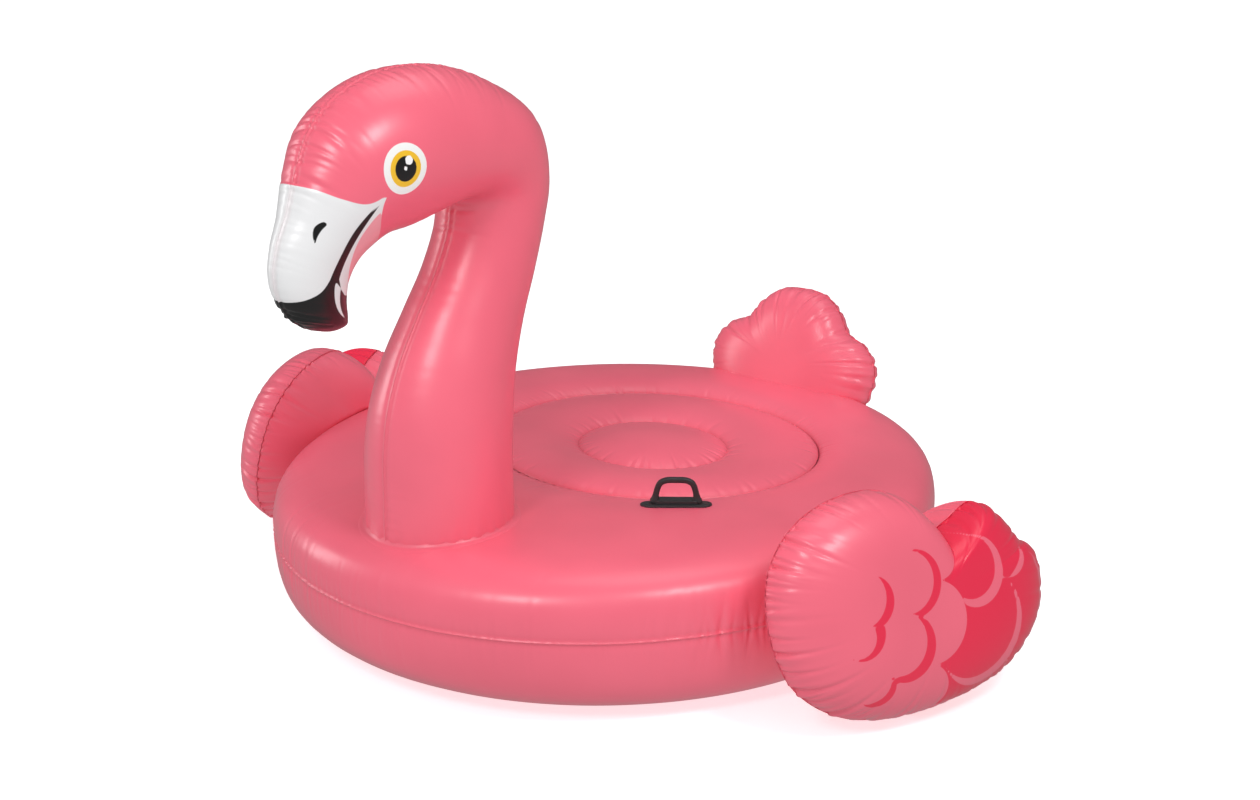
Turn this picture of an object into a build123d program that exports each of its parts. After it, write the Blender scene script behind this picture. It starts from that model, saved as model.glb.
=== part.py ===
from build123d import *
import math
import os

# Inflatable ride-on island float, millimetres. +Z is up, the bird faces -Y and its left wing is at +X.
# The origin is under the middle of the whole object, on the surface that it stands on.
# Every air chamber is a shell of welded sheets, each its own piece.

# Driving dimensions
WALL = 3.0
CENTRE_SHIFT_Y = 48.6
HULL_RX, HULL_RY = 720.0, 770.0
HULL_HEIGHT = 318.0
HULL_SEAM_Z = 192.0
WELL_RX, WELL_RY, WELL_Y = 396.0, 357.0, 163.0
CREASE_TOP_Z, CREASE_BOTTOM_Z = 290.0, 58.0
FLOOR_VALLEY = 0.454
FLOOR_RING_RISE, FLOOR_DOME_RISE = 22.0, 30.0
FLOOR_VALLEY_DROP = 8.0
BEAK_TIP_WALL = 5.0
WING_CENTRE = (828.0, -98.0, 230.5)
WING_FLARE, WING_TILT = 18.0, 14.0
WING_BULGE_OUT, WING_BULGE_IN = 112.0, 138.0
TAIL_CENTRE = (0.0, 742.0, 340.0)
TAIL_LEAN = 15.0
TAIL_BULGE = 72.0
HANDLE_X, HANDLE_Y, HANDLE_TURN = 325.0, -172.0, 38.0
HANDLE_PLATE = (150.0, 44.0, 4.0)
HANDLE_GRIP_HEIGHT, HANDLE_GRIP_THICK = 56.0, 13.0
WELD_RING_WIDTH, WELD_RING_THICK = 14.0, 2.0
WELD_GAP = 0.3
VALVE_FLANGE_R, VALVE_TUBE_R, VALVE_BORE_R = 22.0, 9.0, 5.5
HINGE_X, HINGE_Z = 15.0, 6.8

# Neck, head and beak: centre y and z, lean of the section, half depth, half width
NECK_SECTIONS = [
    (-540, 262, -6, 154, 150),
    (-538, 370, -9, 154, 149),
    (-536, 466, -9, 153, 146),
    (-524, 550, -10, 150, 139),
    (-498, 640, -10, 140, 127),
    (-455, 732, -8, 129, 114),
    (-408, 820, -6, 120, 107),
    (-374, 910, -3, 116, 106),
    (-367, 975, 5, 122, 112),
    (-403, 1040, 30, 142, 126),
    (-496, 1078, 58, 146, 134),
    (-594, 1090, 82, 149, 134),
    (-689, 1078, 105, 147, 128),
    (-760, 1044, 122, 132, 114),
    (-801, 995, 133, 108, 94),
    (-830, 947, 143, 90, 75),
    (-853, 900, 152, 87, 62),
    (-859, 852, 160, 84, 55),
    (-844, 805, 167, 70, 45),
    (-820, 770, 172, 44, 30),
]

# Rows where the neck turns into the head, and the head into the beak
HEAD_ROW, BEAK_ROW = 10, 14

# Outline of the left wing in its own plane, towards the tail and up, from its centre
WING_TIP_LOBE = [(78, 98), (132, 120), (196, 144), (242, 114), (283, 58)]
WING_BODY = [
    (283, 58), (322, 30), (334, -25), (312, -110), (212, -194), (0, -230), (-176, -204),
    (-292, -116), (-330, 6), (-312, 112), (-238, 186), (-120, 218), (-22, 206), (35, 160), (78, 98),
]

# Outline of the right half of the tail in its own plane, sideways and up, from its centre
TAIL_HALF = [
    (0, 204), (62, 196), (108, 162), (146, 112), (196, 90), (234, 44), (238, -10), (214, -70),
    (120, -132), (0, -146),
]

# How a lens-shaped chamber swells: share of the outline, share of the bulge
LENS_PROFILE = [(1.0, 0.0), (0.975, 0.30), (0.90, 0.60), (0.76, 0.84), (0.52, 0.97), (0.22, 1.0)]

PROFILE_ANGLES = (12, 28, 45, 62)
TOP_POWER, BOTTOM_POWER = 0.52, 0.66
FLAT_SHARE = 0.38


def tube_ellipse(share, inset):
    """Ellipse across the ring: share is 1 at the outer wall and -1 at the well's wall."""
    outer = (HULL_RX - inset, HULL_RY - inset, 0.0)
    well = (WELL_RX + inset, WELL_RY + inset, WELL_Y)
    k = (1 + share) / 2
    return tuple(w + (o - w) * k for o, w in zip(outer, well))


def ring_level(share, z, inset):
    rx, ry, centre = tube_ellipse(share, inset)
    return Pos(0, centre, z) * Ellipse(rx, ry)


def hull_form(inset):
    """The whole ring, drawn in by inset all round."""
    low, high = inset, HULL_HEIGHT - inset
    levels = [(FLAT_SHARE, low)]
    for angle in reversed(PROFILE_ANGLES):
        c, s = math.cos(math.radians(angle)), math.sin(math.radians(angle))
        levels.append((c**BOTTOM_POWER, HULL_SEAM_Z - (HULL_SEAM_Z - low) * s**BOTTOM_POWER))
    levels.append((1.0, HULL_SEAM_Z))
    for angle in PROFILE_ANGLES:
        c, s = math.cos(math.radians(angle)), math.sin(math.radians(angle))
        levels.append((c**TOP_POWER, HULL_SEAM_Z + (high - HULL_SEAM_Z) * s**TOP_POWER))
    levels.append((FLAT_SHARE, high))
    outside = loft([ring_level(share, z, inset) for share, z in levels])
    below = [(FLAT_SHARE, low), (0.60, low + 6), (0.80, low + 20), (0.94, low + 40), (1.0, low + 56)]
    above = [(1.0, high - 28), (0.93, high - 20), (0.80, high - 11), (0.62, high - 4), (0.36, high)]
    hole = loft([ring_level(-share, z, inset) for share, z in below + above], ruled=True)
    return outside - hole


def above_seam(shape):
    return split(shape, bisect_by=Plane((0, 0, HULL_SEAM_Z)), keep=Keep.TOP)


def below_seam(shape):
    return split(shape, bisect_by=Plane((0, 0, HULL_SEAM_Z)), keep=Keep.BOTTOM)


def arc_point(start, end, rise):
    """Middle point of an arc that stands rise above the chord."""
    return ((start[0] + end[0]) / 2, (start[1] + end[1]) / 2 + rise)


def floor_sheet(crease_z, side):
    """Welded sheet over the well: a centre dome, a valley and a ring pillow. side is 1 on top, -1 below."""
    edge = WELL_RX + 6
    valley = FLOOR_VALLEY * WELL_RX
    valley_z = crease_z - side * FLOOR_VALLEY_DROP
    lines = []
    for shift in (0, -side * WALL):
        middle = (0, valley_z + side * FLOOR_DOME_RISE + shift)
        inner = (valley, valley_z + shift)
        outer = (edge, crease_z + shift)
        dome_mid = (valley * 0.55, valley_z + side * FLOOR_DOME_RISE * 0.72 + shift)
        lines.append(ThreePointArc(middle, dome_mid, inner))
        lines.append(ThreePointArc(inner, arc_point(inner, outer, side * FLOOR_RING_RISE), outer))
    lines.append(Line((0, (lines[0] @ 0).Y), (0, (lines[2] @ 0).Y)))
    lines.append(Line((edge, (lines[1] @ 1).Y), (edge, (lines[3] @ 1).Y)))
    profile = Plane.XZ * make_face(Curve() + lines)
    sheet = revolve(profile, Axis.Z)
    return Pos(0, WELL_Y, 0) * scale(sheet, by=(1, WELL_RY / WELL_RX, 1))


def floor_band(top_sheet, bottom_sheet):
    """Inner baffle that holds the two floor sheets together under the valley."""
    outer = Ellipse(FLOOR_VALLEY * WELL_RX, FLOOR_VALLEY * WELL_RY)
    inner = Ellipse(FLOOR_VALLEY * WELL_RX - WALL, FLOOR_VALLEY * WELL_RY - WALL)
    base = CREASE_BOTTOM_Z + FLOOR_VALLEY_DROP
    height = CREASE_TOP_Z - FLOOR_VALLEY_DROP - base
    band = extrude(Pos(0, WELL_Y, base) * (outer - inner), height)
    return band - top_sheet - bottom_sheet


def neck_form(inset):
    """Solid neck, head and beak, drawn in by inset."""
    sections = []
    for row, (y, z, lean, depth, width) in enumerate(NECK_SECTIONS):
        last = row == len(NECK_SECTIONS) - 1
        across = Vector(0, math.cos(math.radians(lean)), math.sin(math.radians(lean)))
        along = Vector(1, 0, 0).cross(across)
        back = BEAK_TIP_WALL * inset / WALL if last else (inset if row == 0 else 0)
        centre = Vector(0, y, z) - along * back
        plane = Plane(origin=centre, x_dir=(1, 0, 0), z_dir=along)
        sections.append(plane * Ellipse(width - inset, depth - inset))
    stem = loft(sections[: HEAD_ROW + 1])
    head = loft(sections[HEAD_ROW : BEAK_ROW + 1])
    beak = loft(sections[BEAK_ROW:])
    return stem + head + beak


def lens(outline, plane, bulge, inset):
    """Half of a lens-shaped chamber, standing on plane and swelling along its normal."""
    reach = max(math.hypot(x, y) for curve in outline for x, y in curve)
    sections = []
    for share, height in LENS_PROFILE:
        size = share - inset / reach * 1.3
        edges = [Spline([(x * size, y * size) for x, y in curve]) for curve in outline]
        level = plane.offset(height * (bulge - inset))
        sections.append(level * make_face(Curve() + edges))
    return loft(sections)


def lens_skin(outline, plane, bulge):
    return lens(outline, plane, bulge, 0) - lens(outline, plane, bulge, WALL)


def largest(shape):
    """The main piece, without any scrap that a trim leaves."""
    return sorted(shape.solids(), key=lambda solid: solid.volume)[-1]


def wing_planes():
    """Planes of the left wing's outer and inner halves, with x towards the tail."""
    flare, tilt = math.radians(WING_FLARE), math.radians(WING_TILT)
    out = Vector(math.cos(flare) * math.cos(tilt), -math.sin(flare) * math.cos(tilt), math.sin(tilt))
    back = Vector(math.sin(flare), math.cos(flare), 0)
    return Plane(WING_CENTRE, x_dir=back, z_dir=out), Plane(WING_CENTRE, x_dir=back, z_dir=-out)


def upside(curves):
    """The same outline seen from behind its plane."""
    return [[(x, -y) for x, y in curve] for curve in curves]


def tail_planes():
    lean = math.radians(TAIL_LEAN)
    back = Vector(0, math.cos(lean), -math.sin(lean))
    rear = Plane(TAIL_CENTRE, x_dir=(-1, 0, 0), z_dir=back)
    front = Plane(TAIL_CENTRE, x_dir=(1, 0, 0), z_dir=-back)
    return rear, front


def tail_outline():
    left = [(-x, y) for x, y in reversed(TAIL_HALF)]
    return [TAIL_HALF, left]


def handle(hull):
    """One moulded grab handle: a plate that lies on the hull and a D-shaped grip."""
    length, width, thick = HANDLE_PLATE
    top = HULL_HEIGHT + thick
    plate = extrude(Pos(0, 0, HULL_HEIGHT - 14) * SlotOverall(length, width), thick + 14)
    pad = SlotOverall(length - 56, HANDLE_GRIP_THICK + 12)
    blank = extrude(Pos(0, 0, HULL_HEIGHT - 14) * pad, thick + 20)
    tall = HANDLE_GRIP_HEIGHT
    grip_outer = Polygon((-50, 0), (50, 0), (39, tall), (-39, tall), align=None)
    grip_outer = fillet(grip_outer.vertices().sort_by(Axis.Y)[2:], 16)
    hole = Polygon((-33, 12), (33, 12), (27, tall - 13), (-27, tall - 13), align=None)
    hole = fillet(hole.vertices(), 9)
    upright = Plane((0, 0, top - 4), x_dir=(1, 0, 0), z_dir=(0, -1, 0))
    grip = extrude(upright * (grip_outer - hole), HANDLE_GRIP_THICK / 2, both=True)
    body = (plate + blank + grip).clean()
    return Pos(HANDLE_X, HANDLE_Y, 0) * Rot(0, 0, HANDLE_TURN) * body - hull


def weld_ring(hull, neck):
    """Reinforcing ring welded where the neck stands on the hull."""
    y, _, _, depth, width = NECK_SECTIONS[1]
    outline = Ellipse(width + WELD_RING_WIDTH, depth + WELD_RING_WIDTH)
    slab = extrude(Pos(0, y, 270) * outline, HULL_HEIGHT + WELD_RING_THICK - 270)
    hollow = extrude(Pos(0, y, 260) * Ellipse(width - 20, depth - 20), 80)
    return largest(slab - hollow - hull - neck)


def spot(form, start, direction, turn):
    """Place on the form's outside that a line from start meets first, facing outward.
    turn is 1 or -1, for the side of the valve that the plug's hinge is on."""
    axis = Axis(start, direction)
    hits = form.find_intersection_points(axis)
    near = min(hits, key=lambda hit: (hit[0] - Vector(*start)).length)
    normal = near[1]
    if normal.dot(Vector(*direction)) > 0:
        normal = -normal
    side = Vector(0, 0, 1).cross(normal) * turn
    if side.length < 0.1:
        side = Vector(1, 0, 0)
    return Plane(near[0], x_dir=side, z_dir=normal)


def valve_body(plane):
    """Flange welded into the sheet, with its inlet tube and the foot of the plug's strap."""
    flange = Pos(0, 0, -0.5) * Cylinder(VALVE_FLANGE_R, 4)
    tube = Pos(0, 0, -4.5) * Cylinder(VALVE_TUBE_R, 19)
    foot_top = HINGE_Z - 1.8
    foot = Pos(HINGE_X, 0, foot_top / 2) * Box(4, 8, foot_top)
    bore = Pos(0, 0, -4.5) * Cylinder(VALVE_BORE_R, 30)
    return plane * (flange + tube + foot - bore)


def valve_flap(plane):
    """One-way flap that air pressure holds against the tube's inner end."""
    return plane * (Pos(0, 0, -14.6) * Cylinder(VALVE_TUBE_R, 1.2))


def valve_plug(plane):
    """Stopper on its strap; the strap folds at the hinge line."""
    cap = Pos(0, 0, 6.8) * Cylinder(10.5, 3)
    pin = Pos(0, 0, 3.2) * Cone(4.2, 5.2, 4.4)
    tongue = Pos(12.25, 0, HINGE_Z) * Box(5.5, 8, 2)
    knuckle = Pos(HINGE_X, 0, HINGE_Z) * Rot(90, 0, 0) * Cylinder(1.5, 8)
    return plane * (cap + pin + tongue + knuckle)


def sheet_hole(plane):
    return plane * Cylinder(VALVE_FLANGE_R, 40)


def build():
    parts = {}
    hull, hull_air = hull_form(0), hull_form(WALL)
    neck, neck_air = neck_form(0), neck_form(WALL)
    shell = hull - hull_air
    parts["hull_top_skin"] = above_seam(shell)
    parts["hull_bottom_skin"] = below_seam(shell)

    floor_top = floor_sheet(CREASE_TOP_Z, 1)
    floor_bottom = floor_sheet(CREASE_BOTTOM_Z, -1)
    parts["floor_baffle"] = floor_band(floor_top, floor_bottom)
    bed = hull_form(-WELD_GAP)
    parts["floor_top_skin"] = largest(floor_top - bed)
    parts["floor_bottom_skin"] = largest(floor_bottom - bed)

    neck_shell = neck - neck_air - hull
    parts["neck_left_skin"] = largest(split(neck_shell, bisect_by=Plane.YZ, keep=Keep.TOP))
    parts["neck_right_skin"] = largest(split(neck_shell, bisect_by=Plane.YZ, keep=Keep.BOTTOM))
    parts["neck_weld_ring"] = weld_ring(hull, neck)

    outer_plane, inner_plane = wing_planes()
    wing = [WING_TIP_LOBE, WING_BODY]
    wing_outer = lens_skin(wing, outer_plane, WING_BULGE_OUT)
    wing_inner = largest(lens_skin(upside(wing), inner_plane, WING_BULGE_IN) - bed)
    rear_plane, front_plane = tail_planes()
    parts["tail_back_skin"] = largest(lens_skin(tail_outline(), rear_plane, TAIL_BULGE) - bed)
    parts["tail_front_skin"] = largest(lens_skin(tail_outline(), front_plane, TAIL_BULGE) - bed)
    parts["left_wing_outer_skin"] = wing_outer
    parts["left_wing_inner_skin"] = wing_inner
    parts["right_wing_outer_skin"] = mirror(wing_outer, about=Plane.YZ)
    parts["right_wing_inner_skin"] = mirror(wing_inner, about=Plane.YZ)
    grab = handle(hull)
    parts["left_handle"] = grab
    parts["right_handle"] = mirror(grab, about=Plane.YZ)

    wing_valve = outer_plane.from_local_coords((150, 20, 0))
    inward = -outer_plane.z_dir
    left_start = wing_valve + inward * 300
    left_start, left_dir = tuple(left_start), tuple(-inward)
    right_start = (-left_start[0], left_start[1], left_start[2])
    right_dir = (-left_dir[0], left_dir[1], left_dir[2])
    places = {
        "hull": (hull, (-900, 1200, 236), (0.6, -0.8, 0), "hull_top_skin", 1),
        "neck": (neck, (-500, -100, 520), (0.75, -0.66, 0), "neck_right_skin", 1),
        "left_wing": (wing_inner, left_start, left_dir, "left_wing_inner_skin", -1),
        "right_wing": (parts["right_wing_inner_skin"], right_start, right_dir, "right_wing_inner_skin", 1),
        "tail": (parts["tail_back_skin"], (90, 1100, 380), (0, -1, 0), "tail_back_skin", 1),
        "floor": (floor_bottom, (0, -97, -100), (0, 0, 1), "floor_bottom_skin", 1),
    }
    for name, (form, start, direction, sheet, turn) in places.items():
        plane = spot(form, start, direction, turn)
        parts[sheet] = largest(parts[sheet] - sheet_hole(plane))
        parts[name + "_valve"] = valve_body(plane)
        parts[name + "_valve_flap"] = valve_flap(plane)
        parts[name + "_valve_plug"] = valve_plug(plane)
        hinge = plane.from_local_coords((HINGE_X, 0, HINGE_Z)) + Vector(0, CENTRE_SHIFT_Y, 0)
        print("hinge", name, tuple(round(v, 2) for v in hinge), tuple(round(v, 5) for v in plane.y_dir))
    return parts


def main():
    os.makedirs("parts", exist_ok=True)
    for name, shape in build().items():
        export_step(Pos(0, CENTRE_SHIFT_Y, 0) * shape, "parts/" + name + ".step")


main()
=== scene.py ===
import math

import bpy
import numpy as np
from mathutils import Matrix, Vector


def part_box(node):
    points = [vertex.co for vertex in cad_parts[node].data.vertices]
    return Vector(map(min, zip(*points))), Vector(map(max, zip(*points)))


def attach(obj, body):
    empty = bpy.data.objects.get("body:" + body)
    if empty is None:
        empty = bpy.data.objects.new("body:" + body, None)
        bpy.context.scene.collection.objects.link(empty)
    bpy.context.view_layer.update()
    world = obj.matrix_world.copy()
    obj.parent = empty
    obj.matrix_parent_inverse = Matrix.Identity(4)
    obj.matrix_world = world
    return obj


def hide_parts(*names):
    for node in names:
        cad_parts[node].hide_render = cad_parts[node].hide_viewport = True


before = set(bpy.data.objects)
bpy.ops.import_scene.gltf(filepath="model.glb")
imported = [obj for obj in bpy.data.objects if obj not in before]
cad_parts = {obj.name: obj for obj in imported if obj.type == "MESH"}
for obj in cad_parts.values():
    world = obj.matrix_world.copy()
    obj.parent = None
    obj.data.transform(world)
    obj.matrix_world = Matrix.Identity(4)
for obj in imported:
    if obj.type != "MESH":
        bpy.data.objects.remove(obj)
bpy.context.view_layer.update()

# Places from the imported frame, in metres. The hull's centre is the origin of the forms below.
HULL_LOW, HULL_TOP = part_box("hull_top_skin")
SHIFT = np.array([0.0, (HULL_LOW.y + HULL_TOP.y) / 2, 0.0])
HULL_R = np.array([(HULL_TOP.x - HULL_LOW.x) / 2, (HULL_TOP.y - HULL_LOW.y) / 2])
SEAM_Z, CREST_Z = HULL_LOW.z, HULL_TOP.z
WELL_R, WELL_Y = np.array([0.396, 0.357]), 0.163
CREASE_TOP_Z, CREASE_BOTTOM_Z, WELL_FOOT_Z = 0.290, 0.058, 0.056

# Neck, head and beak from foot to tip, in mm and degrees: y, z, lean, half depth, half width
NECK_ROWS = np.array([
    (-540, 262, -6, 154, 150), (-538, 370, -9, 154, 149), (-536, 466, -9, 153, 146),
    (-524, 550, -10, 150, 139), (-498, 640, -10, 140, 127), (-455, 732, -8, 129, 114),
    (-408, 820, -6, 120, 107), (-374, 910, -3, 116, 106), (-367, 975, 5, 122, 112),
    (-403, 1040, 30, 142, 126), (-496, 1078, 58, 146, 134), (-594, 1090, 82, 149, 134),
    (-689, 1078, 105, 147, 128), (-760, 1044, 122, 132, 114), (-801, 995, 133, 108, 94),
    (-830, 947, 143, 90, 75), (-853, 900, 152, 87, 62), (-859, 852, 160, 84, 55),
    (-844, 805, 167, 70, 45), (-820, 770, 172, 44, 30)], float)
# Outlines in mm from the chamber's centre: the wing's is towards the tail and up, the tail's is across and up
WING_TIP_LOBE = [(78, 98), (132, 120), (196, 144), (242, 114), (283, 58)]
WING_BODY = [
    (283, 58), (322, 30), (334, -25), (312, -110), (212, -194), (0, -230), (-176, -204), (-292, -116),
    (-330, 6), (-312, 112), (-238, 186), (-120, 218), (-22, 206), (35, 160), (78, 98)]
TAIL_HALF = [
    (0, 204), (62, 196), (108, 162), (146, 112), (196, 90), (234, 44), (238, -10), (214, -70),
    (120, -132), (0, -146)]
MM = 0.001

# Forms, in metres and radians
WING_CENTRE = np.array([0.828, -0.098, 0.2305])
WING_FLARE, WING_TILT = math.radians(18), math.radians(14)
WING_BULGE_OUT, WING_BULGE_IN = 0.112, 0.138
TAIL_CENTRE, TAIL_LEAN, TAIL_BULGE = np.array([0, 0.742, 0.340]), math.radians(15), 0.072
PROFILE_ANGLES = (12, 28, 45, 62)
TOP_POWER, LOW_POWER = 0.52, 0.66
MEAN_HALF_WIDTH = 0.184
FLOOR_VALLEY = 0.454
FLOOR_VALLEY_DROP, FLOOR_RING_RISE, FLOOR_DOME_RISE = 0.008, 0.022, 0.030
NECK_FOOT_R = 0.152
FLAP_TO_FLANGE, VALVE_HOLE_R = 14.6 * MM, 14.5 * MM
SEAT_R, SEAT_BLEND, SEAT_RISE = 70 * MM, 44 * MM, 30 * MM
HANDLE_TURN = math.radians(38)
WELD_LIP = 0.0022

# Fineness of the sheets
HULL_COLUMNS, FLOOR_COLUMNS, WING_COLUMNS, TAIL_COLUMNS = 1480, 900, 1120, 1000
HULL_ROW_STEP, CHAMBER_ROW_STEP = 0.0150, 0.0088
NECK_GRID = (570, 172)


# ---------------------------------------------------------------- curves and grids

def smooth(points, knots, query):
    """Smooth curve through points at knots, read at query."""
    p, t = np.array(points, float), np.array(knots, float)
    h = np.diff(t)
    d = np.diff(p, axis=0) / h[:, None]
    m = np.empty_like(p)
    m[1:-1] = (d[:-1] * h[1:, None] + d[1:] * h[:-1, None]) / (h[1:] + h[:-1])[:, None]
    m[0], m[-1] = 1.5 * d[0] - 0.5 * m[1], 1.5 * d[-1] - 0.5 * m[-2]
    i = np.clip(np.searchsorted(t, query, "right") - 1, 0, len(h) - 1)
    s = ((query - t[i]) / h[i])[:, None]
    g = h[i][:, None]
    return ((2 * s**3 - 3 * s**2 + 1) * p[i] + (s**3 - 2 * s**2 + s) * g * m[i]
            + (3 * s**2 - 2 * s**3) * p[i + 1] + (s**3 - s**2) * g * m[i + 1])


def chord_knots(points, power=0.5):
    """Knots from the lengths between points."""
    p = np.array(points, float)
    return np.r_[0, np.cumsum(np.linalg.norm(np.diff(p, axis=0), axis=1) ** power)]


def curve(points, count):
    """count points along a smooth curve through points."""
    t = chord_knots(points)
    return smooth(points, t, np.linspace(0, t[-1], count))


def even(points, count, closed=False):
    """The polyline points read again at count even steps."""
    p = np.vstack([points, points[:1]]) if closed else np.array(points, float)
    t = chord_knots(p, 1)
    q = np.linspace(0, t[-1], count, endpoint=not closed)
    return np.stack([np.interp(q, t, p[:, k]) for k in range(p.shape[1])], 1), t[-1]


def steps(total, fine, coarse):
    """Distances from a weld: a few fine ones, then coarse ones up to total."""
    rest = max(2, int(round((total - fine[-1]) / coarse)))
    return np.r_[fine, np.linspace(fine[-1], total, rest + 1)[1:]]


FINE = np.array([0, 1, 2, 3.2, 5, 7.5, 11, 16, 22, 30, 39]) * MM


def normals(p, wrap):
    """Unit normals of a grid of points."""
    du = np.gradient(p, axis=0)
    dv = (np.roll(p, -1, 1) - np.roll(p, 1, 1)) / 2 if wrap else np.gradient(p, axis=1)
    n = np.cross(du, dv)
    return n / np.maximum(np.linalg.norm(n, axis=2, keepdims=True), 1e-12)


def bell(x):
    return np.exp(-x * x)


def creases(run, dist, total, rng, spacing, depth, reach, width, weight=None):
    """Folds that cross a weld: each is a narrow valley with a soft ridge beside it. Returns a height."""
    out = np.zeros(np.broadcast(run, dist).shape)
    place = 0.0
    while place < total:
        k = rng.uniform(0.35, 1.0)
        amount = k * (1.0 if weight is None else weight(place))
        size = width * rng.uniform(0.75, 1.35)
        slant = rng.uniform(-0.16, 0.16)
        long = reach * (0.35 + 0.75 * k * rng.uniform(0.5, 1.2))
        if amount > 0.03:
            off = (run - place + total / 2) % total - total / 2 - slant * dist
            near = np.abs(off) < size * 6
            fade = bell(dist / long) * np.minimum(1, 0.35 + dist / (4 * MM))
            shape = -bell(off / size) + 0.45 * bell((off - 2.2 * size) / (1.5 * size))
            shape += 0.45 * bell((off + 2.2 * size) / (1.5 * size))
            out += np.where(near, shape * fade, 0) * depth * amount
        place += spacing * rng.uniform(0.55, 1.45)
    return out


def swell(run, dist, total, rng, count, height, reach):
    """Slow puckering along a weld."""
    out = np.zeros(np.broadcast(run, dist).shape)
    for _ in range(count):
        turns = rng.integers(9, 46)
        out += np.sin(2 * np.pi * turns * run / total + rng.uniform(0, 6.28)) / count
    return out * height * bell(dist / reach)


# ---------------------------------------------------------------- valves in the sheets

def valve_seats():
    """Centre and outward normal of each valve, from its flap and plug."""
    seats = {}
    for name in ("hull", "neck", "left_wing", "right_wing", "tail", "floor"):
        flap = np.array([v.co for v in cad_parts[name + "_valve_flap"].data.vertices])
        plug = np.array([v.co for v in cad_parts[name + "_valve_plug"].data.vertices])
        middle = np.unique(flap.round(6), axis=0).mean(0)
        n = np.linalg.svd(flap - middle, full_matrices=False)[2][2]
        if (plug.mean(0) - middle) @ n < 0:
            n = -n
        seats[name] = (middle + n * FLAP_TO_FLANGE, n)
    return seats


SEATS = valve_seats()


def seat(p, name):
    """Brings the sheet to the valve's flange, and says which faces its inlet passes through."""
    centre, n = SEATS[name]
    d = p - centre
    rise = d @ n
    aside = np.linalg.norm(d - rise[..., None] * n, axis=-1)
    near = (np.abs(rise) < SEAT_RISE) & (aside < SEAT_R)
    w = np.clip((SEAT_R - aside) / SEAT_BLEND, 0, 1)
    w = np.where(near, w * w * (3 - 2 * w), 0)
    p -= (rise * w)[..., None] * n
    return np.where(near, aside, 1.0)


# ---------------------------------------------------------------- meshes

def sheet(name, p, wrap, out, material, slot, nodes, facts=None, valve=None, pole=None):
    """A smooth sheet over the grid p, which rides on the float. out faces outward, facts are kept per point.

    With a valve, p is already in the object's frame. With a pole, the last row closes in a fan.
    """
    rows, cols = p.shape[:2]
    aside = seat(p, valve) if valve else None
    index = np.arange(rows * cols).reshape(rows, cols)
    nxt = np.roll(index, -1, 1) if wrap else index[:, 1:]
    cur = index if wrap else index[:, :-1]
    quads = np.stack([cur[:-1], nxt[:-1], nxt[1:], cur[1:]], -1).reshape(-1, 4)
    flip = np.sum(normals(p, wrap) * out) > 0
    if flip:
        quads = quads[:, ::-1]
    flat = p.reshape(-1, 3)
    if aside is not None:
        quads = quads[aside.reshape(-1)[quads].mean(1) > VALVE_HOLE_R]
    faces = quads.tolist()
    verts = flat
    if pole is not None:
        ring = index[-1]
        middle = flat[ring].mean(0) if pole is True else np.array(pole)
        verts = np.vstack([flat, middle])
        fan = [[ring[j], ring[(j + 1) % cols], len(flat)] for j in range(cols)]
        faces += [f[::-1] for f in fan] if flip else fan
    mesh = bpy.data.meshes.new(name)
    mesh.from_pydata((verts + SHIFT).tolist() if valve is None else verts.tolist(), [], faces)
    for key, values in (facts or {}).items():
        values = np.broadcast_to(values, (rows, cols)).reshape(-1)
        if pole is not None:
            values = np.r_[values, values[index[-1]].mean()]
        mesh.attributes.new(key, "FLOAT", "POINT").data.foreach_set("value", values.astype(np.float32))
    mesh.shade_smooth()
    return place(name, mesh, material, slot, nodes)


def place(name, mesh, material, slot, nodes, soft=True):
    """Puts a mesh on the float in the place of the CAD nodes."""
    obj = bpy.data.objects.new(name, mesh)
    bpy.context.scene.collection.objects.link(obj)
    mesh.materials.append(material)
    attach(obj, "float")
    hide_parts(*nodes)
    return obj


# ---------------------------------------------------------------- signed distances for the prints

def circle_of(a, b, c):
    """Centre and radius of the circle through three points."""
    a, b, c = (np.array(v, float) for v in (a, b, c))
    m = np.array([b - a, c - a]) * 2
    centre = np.linalg.solve(m, [b @ b - a @ a, c @ c - a @ a])
    return centre, np.linalg.norm(a - centre)


def disc(q, three):
    """Signed distance to the disc through three points."""
    centre, r = circle_of(*three)
    return np.linalg.norm(q - centre, axis=-1) - r


def side(q, a, b):
    """Distance past the line a-b, positive on its left."""
    a, b = np.array(a, float), np.array(b, float)
    t = (b - a) / np.linalg.norm(b - a)
    d = q - a
    return t[0] * d[..., 1] - t[1] * d[..., 0]


def polygon(q, points):
    """Signed distance to a polygon, negative inside."""
    p = np.array(points, float)
    best = np.full(q.shape[:-1], 1e9)
    inside = np.zeros(q.shape[:-1], bool)
    for a, b in zip(p, np.roll(p, -1, 0)):
        e, w = b - a, q - a
        if e @ e < 1e-9:
            continue
        t = np.clip((w @ e) / (e @ e), 0, 1)
        best = np.minimum(best, np.linalg.norm(w - t[..., None] * e, axis=-1))
        cross = (a[1] > q[..., 1]) != (b[1] > q[..., 1])
        rise = e[1] if abs(e[1]) > 1e-12 else 1e-12
        inside ^= cross & (q[..., 0] < e[0] * (q[..., 1] - a[1]) / rise + a[0])
    return np.where(inside, -best, best)


def stroke(q, points, widths):
    """Signed distance to a brush stroke that tapers along its points."""
    line = curve([(*p, w) for p, w in zip(points, widths)], 14 * (len(points) - 1))
    best = np.full(q.shape[:-1], 1e9)
    for a, b in zip(line[:-1], line[1:]):
        e, w = b[:2] - a[:2], q - a[:2]
        t = np.clip((w @ e) / (e @ e), 0, 1)
        r = a[2] + t * (b[2] - a[2])
        best = np.minimum(best, np.linalg.norm(w - t[..., None] * e, axis=-1) - r)
    return best


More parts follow.
